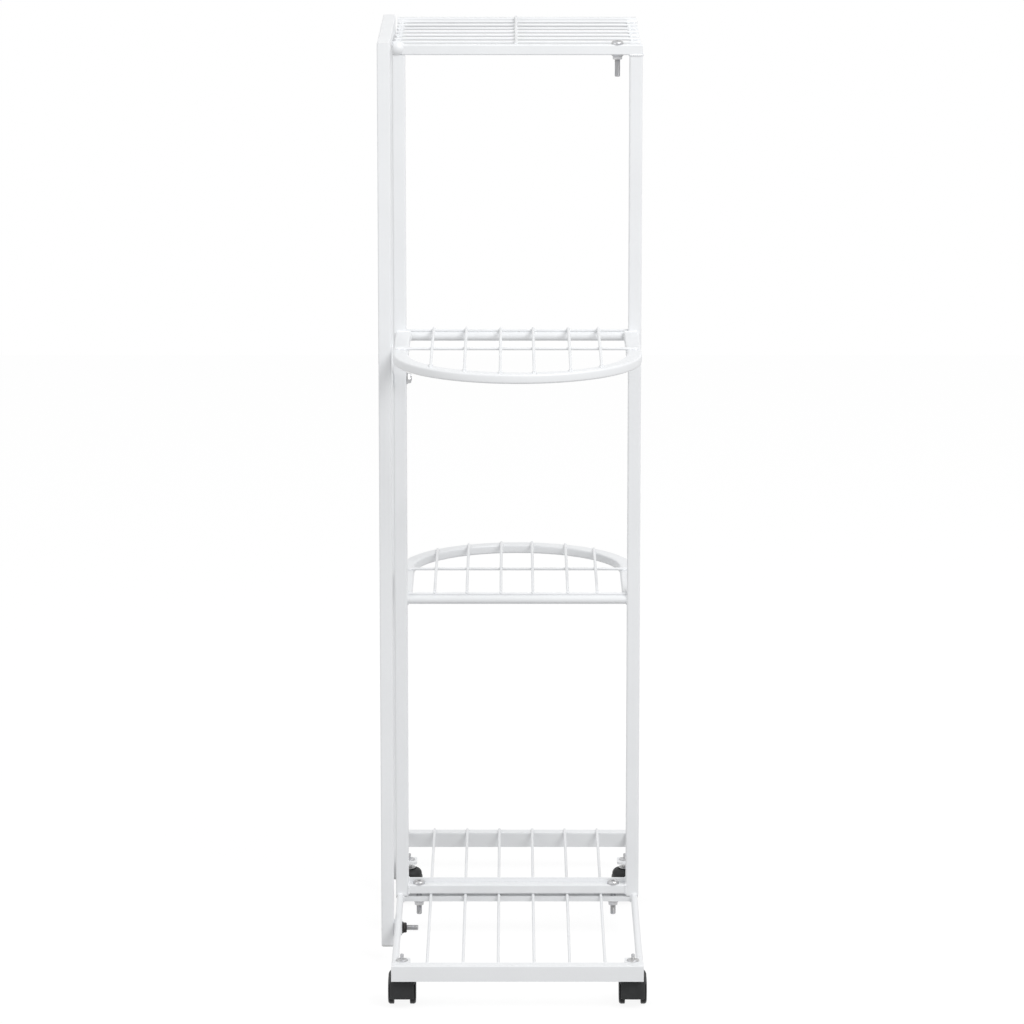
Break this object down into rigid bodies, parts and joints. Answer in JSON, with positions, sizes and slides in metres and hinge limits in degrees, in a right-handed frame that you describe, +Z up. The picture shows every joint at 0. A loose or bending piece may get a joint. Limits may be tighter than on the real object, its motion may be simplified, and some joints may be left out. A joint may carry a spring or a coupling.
{
  "type": "flower cart stand",
  "caption": "Tall narrow plant cart in white steel: long wire base on casters, two D shaped hung trays, a wire top shelf and a side panel.",
  "frame": {"origin": "on the floor under the centre of the whole outline", "axes": "+Z up; -Y toward the side that the picture is taken from, where the upper tray reaches out; the side panel is at -X"},
  "size_m": [0.2296, 0.444, 0.8105],
  "materials": {
    "white_coat": "satin powder coat",
    "zinc": "bright zinc plate",
    "plug_plastic": "matte",
    "hood_plastic": "fine grained",
    "wheel_plastic": "smooth moulded"
  },
  "bodies": {
    "frame": {"base_front_angle": "white_coat", "base_rear_angle": "white_coat", "base_side_rod_left": "white_coat", "base_side_rod_right": "white_coat", "base_deck_wires": "white_coat", "base_cross_strip": "white_coat", "foot_crossbar": "white_coat", "foot_stiffener": "white_coat", "post_left": "white_coat", "post_right": "white_coat", "tier2_hoop": "white_coat", "tier2_back_bar": "white_coat", "tier2_depth_wires": "white_coat", "tier2_cross_wires": "white_coat", "tier3_hoop": "white_coat", "tier3_back_bar": "white_coat", "tier3_depth_wires": "white_coat", "tier3_cross_wires": "white_coat", "shelf_front_bar": "white_coat", "shelf_rear_bar": "white_coat", "shelf_left_rail": "white_coat", "shelf_right_rail": "white_coat", "shelf_corner_ball": "white_coat", "shelf_cross_wires": "white_coat", "shelf_middle_wire": "white_coat", "panel_near_leg": "white_coat", "panel_far_leg": "white_coat", "panel_top_tube": "white_coat", "panel_mid_rail": "white_coat", "panel_lower_lug": "white_coat", "caster_tabs": "white_coat", "foot_bolts": "zinc", "foot_nuts": "zinc", "shelf_bolt": "zinc", "shelf_nut": "zinc", "panel_screws": "zinc", "panel_nuts": "zinc", "caster_stems": "zinc", "caster_retainers": "zinc", "panel_foot_plugs": "plug_plastic"},
    "caster_fl": {"caster_fl_hood": "hood_plastic", "caster_fl_axle": "zinc"},
    "caster_fl_wheel_l_body": {"caster_fl_wheel_l": "wheel_plastic"},
    "caster_fl_wheel_r_body": {"caster_fl_wheel_r": "wheel_plastic"},
    "caster_fr": {"caster_fr_hood": "hood_plastic", "caster_fr_axle": "zinc"},
    "caster_fr_wheel_l_body": {"caster_fr_wheel_l": "wheel_plastic"},
    "caster_fr_wheel_r_body": {"caster_fr_wheel_r": "wheel_plastic"},
    "caster_rl": {"caster_rl_hood": "hood_plastic", "caster_rl_axle": "zinc"},
    "caster_rl_wheel_l_body": {"caster_rl_wheel_l": "wheel_plastic"},
    "caster_rl_wheel_r_body": {"caster_rl_wheel_r": "wheel_plastic"},
    "caster_rr": {"caster_rr_hood": "hood_plastic", "caster_rr_axle": "zinc"},
    "caster_rr_wheel_l_body": {"caster_rr_wheel_l": "wheel_plastic"},
    "caster_rr_wheel_r_body": {"caster_rr_wheel_r": "wheel_plastic"}
  },
  "joints": [
    {"name": "caster_fl_swivel", "type": "hinge", "parent": "frame", "child": "caster_fl", "pos_m": [-0.09425, -0.206, 0.026], "axis": [0, 0, 1], "continuous": true},
    {"name": "caster_fl_roll_l", "type": "hinge", "parent": "caster_fl", "child": "caster_fl_wheel_l_body", "pos_m": [-0.09425, -0.199, 0.0124], "axis": [1, 0, 0], "continuous": true},
    {"name": "caster_fl_roll_r", "type": "hinge", "parent": "caster_fl", "child": "caster_fl_wheel_r_body", "pos_m": [-0.09425, -0.199, 0.0124], "axis": [1, 0, 0], "continuous": true},
    {"name": "caster_fr_swivel", "type": "hinge", "parent": "frame", "child": "caster_fr", "pos_m": [0.10295, -0.206, 0.026], "axis": [0, 0, 1], "continuous": true},
    {"name": "caster_fr_roll_l", "type": "hinge", "parent": "caster_fr", "child": "caster_fr_wheel_l_body", "pos_m": [0.10295, -0.199, 0.0124], "axis": [1, 0, 0], "continuous": true},
    {"name": "caster_fr_roll_r", "type": "hinge", "parent": "caster_fr", "child": "caster_fr_wheel_r_body", "pos_m": [0.10295, -0.199, 0.0124], "axis": [1, 0, 0], "continuous": true},
    {"name": "caster_rl_swivel", "type": "hinge", "parent": "frame", "child": "caster_rl", "pos_m": [-0.09425, 0.112, 0.026], "axis": [0, 0, 1], "continuous": true},
    {"name": "caster_rl_roll_l", "type": "hinge", "parent": "caster_rl", "child": "caster_rl_wheel_l_body", "pos_m": [-0.09425, 0.119, 0.0124], "axis": [1, 0, 0], "continuous": true},
    {"name": "caster_rl_roll_r", "type": "hinge", "parent": "caster_rl", "child": "caster_rl_wheel_r_body", "pos_m": [-0.09425, 0.119, 0.0124], "axis": [1, 0, 0], "continuous": true},
    {"name": "caster_rr_swivel", "type": "hinge", "parent": "frame", "child": "caster_rr", "pos_m": [0.10295, 0.112, 0.026], "axis": [0, 0, 1], "continuous": true},
    {"name": "caster_rr_roll_l", "type": "hinge", "parent": "caster_rr", "child": "caster_rr_wheel_l_body", "pos_m": [0.10295, 0.119, 0.0124], "axis": [1, 0, 0], "continuous": true},
    {"name": "caster_rr_roll_r", "type": "hinge", "parent": "caster_rr", "child": "caster_rr_wheel_r_body", "pos_m": [0.10295, 0.119, 0.0124], "axis": [1, 0, 0], "continuous": true}
  ]
}
